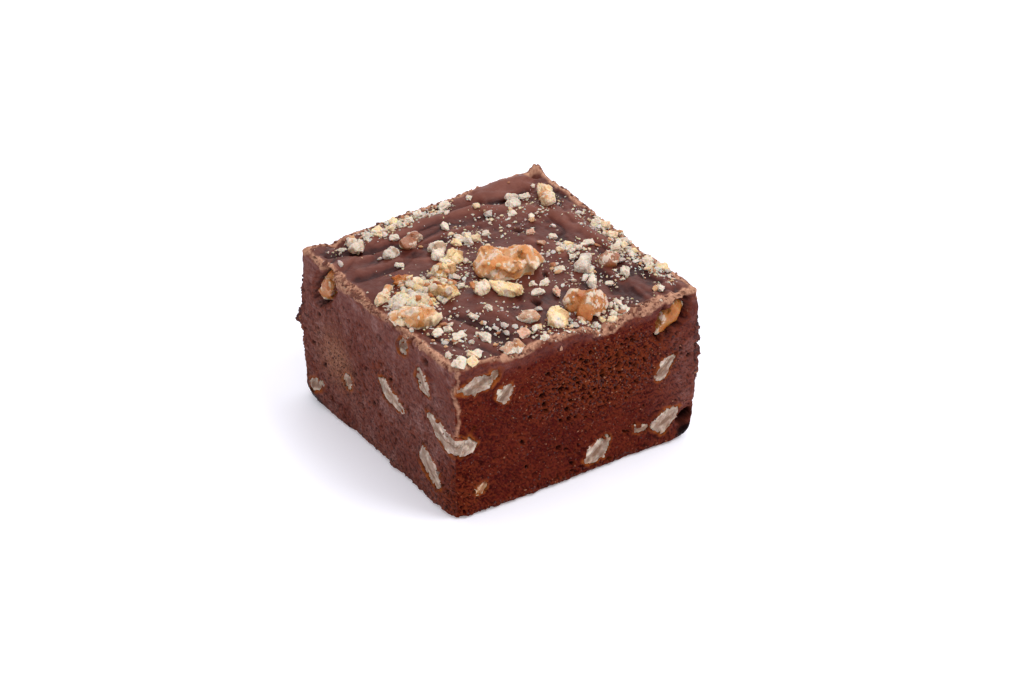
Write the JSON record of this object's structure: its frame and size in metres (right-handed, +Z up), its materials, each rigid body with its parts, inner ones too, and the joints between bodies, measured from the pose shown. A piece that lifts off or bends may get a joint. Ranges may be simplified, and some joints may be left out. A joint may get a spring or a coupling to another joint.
{
  "type": "chocolate walnut fudge",
  "caption": "Square block of chocolate fudge with a folded, swirled top strewn with chopped walnuts and cut sides that show walnut pieces.",
  "frame": {"origin": "middle of the flat underside", "axes": "+Z up, square to the spread top. -Y is the front cut side and -X the left cut side, the two that the picture shows"},
  "size_m": [0.0515, 0.0514, 0.0335],
  "materials": {
    "fudge": "satin on the spread top, rough and granular on the cut sides",
    "walnut": "matte, broken",
    "walnut_skin": "satin, wrinkled"
  },
  "bodies": {
    "root": {"fudge_block": "fudge", "top_walnut_middle": "walnut_skin", "top_walnut_left_edge": "walnut", "top_walnut_front": "walnut_skin", "top_walnut_front_yellow": "walnut", "top_walnut_front_pale": "walnut", "top_walnut_wedge": "walnut", "top_walnut_wedge_side": "walnut", "top_walnut_heap": "walnut", "top_walnut_long": "walnut", "top_walnut_long_end": "walnut", "top_walnut_white": "walnut", "top_walnut_sliver": "walnut", "top_walnut_amber": "walnut_skin", "top_walnut_cream": "walnut", "top_walnut_corner": "walnut", "top_walnut_grey": "walnut", "top_walnut_grey_slip": "walnut", "top_walnut_brown": "walnut_skin", "top_walnut_right_slip": "walnut", "top_walnut_back": "walnut", "top_walnut_back_side": "walnut", "top_walnut_tan": "walnut_skin", "top_walnut_tan_side": "walnut", "top_walnut_back_left": "walnut", "left_walnut_hollow": "walnut_skin", "left_walnut_foot": "walnut", "left_walnut_round": "walnut", "left_walnut_long": "walnut", "left_walnut_upper": "walnut", "left_walnut_lower": "walnut", "left_walnut_rim": "walnut", "front_left_walnut": "walnut", "front_walnut_upper": "walnut", "front_walnut_round": "walnut", "front_walnut_lower": "walnut", "front_walnut_foot": "walnut", "front_walnut_slip": "walnut", "front_walnut_right": "walnut", "front_walnut_hollow": "walnut_skin", "front_walnut_chip": "walnut", "right_walnut_upper": "walnut", "right_walnut_long": "walnut", "right_walnut_round": "walnut", "right_walnut_lower": "walnut", "back_walnut_upper": "walnut", "back_walnut_long": "walnut", "back_walnut_round": "walnut", "back_walnut_lower": "walnut"}
  },
  "joints": []
}
